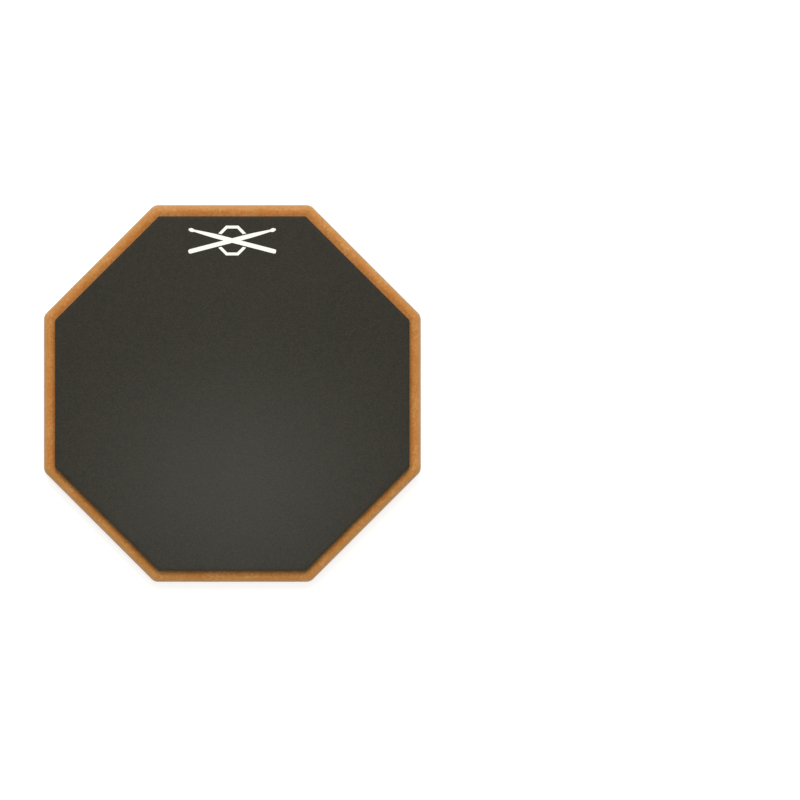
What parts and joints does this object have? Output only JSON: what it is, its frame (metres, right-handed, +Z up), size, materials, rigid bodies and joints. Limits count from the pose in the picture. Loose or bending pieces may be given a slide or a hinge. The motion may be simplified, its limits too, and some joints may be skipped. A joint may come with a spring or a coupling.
{
  "type": "practice pad",
  "caption": "Flat octagonal two-sided drummer's practice pad: a lacquered fibreboard core with rounded edges and a rubber playing sheet glued to each face.",
  "frame": {"origin": "centre of the rear rubber sheet's outer face, which is the face that the pad lies on", "axes": "+Z up through the thickness, out of the front playing face; +Y towards the edge that carries the printed mark; +X to the right; flats face along X and Y"},
  "size_m": [0.3048, 0.3048, 0.0305],
  "materials": {
    "board": "satin",
    "front_rubber": "matte",
    "rear_rubber": "matte",
    "adhesive": "satin",
    "print": "matte"
  },
  "bodies": {
    "root": {"rear_rubber": "rear_rubber", "rear_adhesive": "adhesive", "core_board": "board", "front_adhesive": "adhesive", "front_rubber": "front_rubber"}
  },
  "joints": []
}
